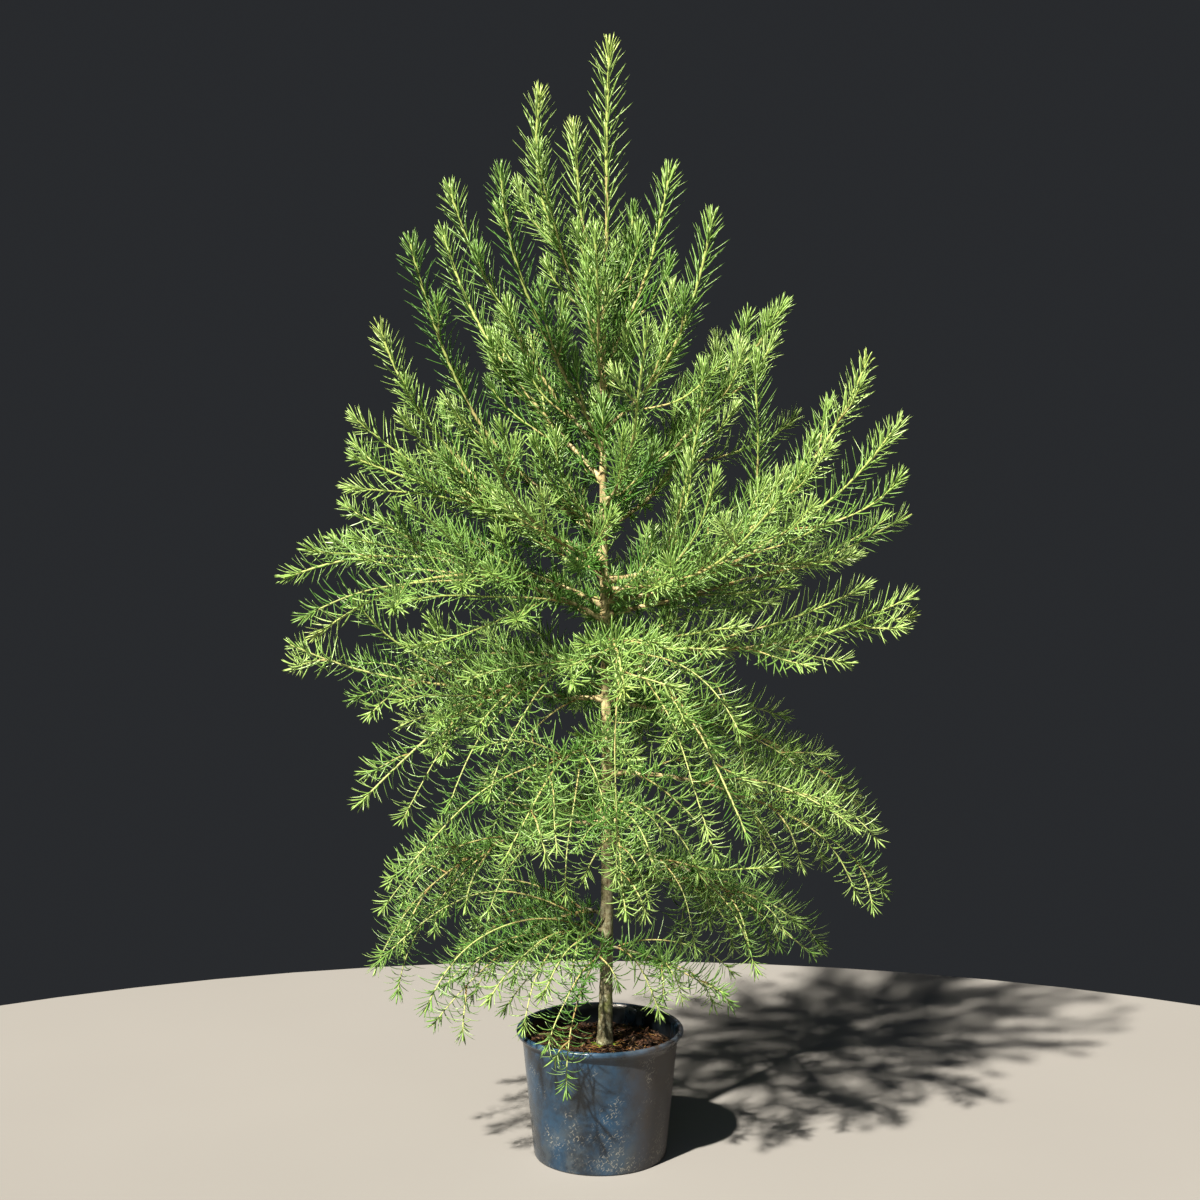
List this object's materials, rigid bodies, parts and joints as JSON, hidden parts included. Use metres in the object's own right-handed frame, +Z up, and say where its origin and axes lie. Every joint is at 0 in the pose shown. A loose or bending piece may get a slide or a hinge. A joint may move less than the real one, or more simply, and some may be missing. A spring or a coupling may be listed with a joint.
{
  "type": "potted european larch",
  "caption": "Young larch with rising upper shoots and drooping lower boughs, clothed in soft needles, growing in a round tapering pot filled with compost.",
  "frame": {"origin": "centre of the pot's flat underside, at the level the pot stands on", "axes": "+Z up along the trunk; +X to the tree's right and +Y to its back, seen from the front"},
  "size_m": [1.1402, 0.8959, 1.9808],
  "materials": {
    "pot": "satin moulded, dusty",
    "compost": "loose, coarse, damp",
    "bark": "thin young bark, matte",
    "needles": "soft, slightly waxy"
  },
  "bodies": {
    "root": {"pot": "pot", "compost": "compost", "trunk": "bark", "leader_foliage": "needles", "bough_11": "bark", "bough_14": "bark", "bough_18": "bark", "bough_19": "bark", "bough_21": "bark", "bough_22": "bark", "bough_26": "bark", "bough_29": "bark", "bough_31": "bark", "bough_32": "bark", "bough_35": "bark", "bough_38": "bark", "foliage_01": "needles", "foliage_02": "needles", "foliage_03": "needles", "foliage_04": "needles", "foliage_05": "needles", "foliage_06": "needles", "foliage_07": "needles", "foliage_08": "needles", "foliage_09": "needles", "foliage_10": "needles", "foliage_11": "needles", "foliage_12": "needles", "foliage_13": "needles", "foliage_14": "needles", "foliage_15": "needles", "foliage_16": "needles", "foliage_17": "needles", "foliage_18": "needles", "foliage_19": "needles", "foliage_20": "needles", "foliage_21": "needles", "foliage_22": "needles", "foliage_23": "needles", "foliage_24": "needles", "foliage_25": "needles", "foliage_26": "needles", "foliage_27": "needles", "foliage_28": "needles", "foliage_29": "needles", "foliage_30": "needles", "foliage_31": "needles", "foliage_32": "needles", "foliage_33": "needles", "foliage_34": "needles", "foliage_35": "needles", "foliage_36": "needles", "foliage_37": "needles", "foliage_38": "needles", "foliage_39": "needles", "foliage_40": "needles", "foliage_41": "needles", "foliage_42": "needles", "foliage_43": "needles", "foliage_44": "needles"}
  },
  "joints": []
}
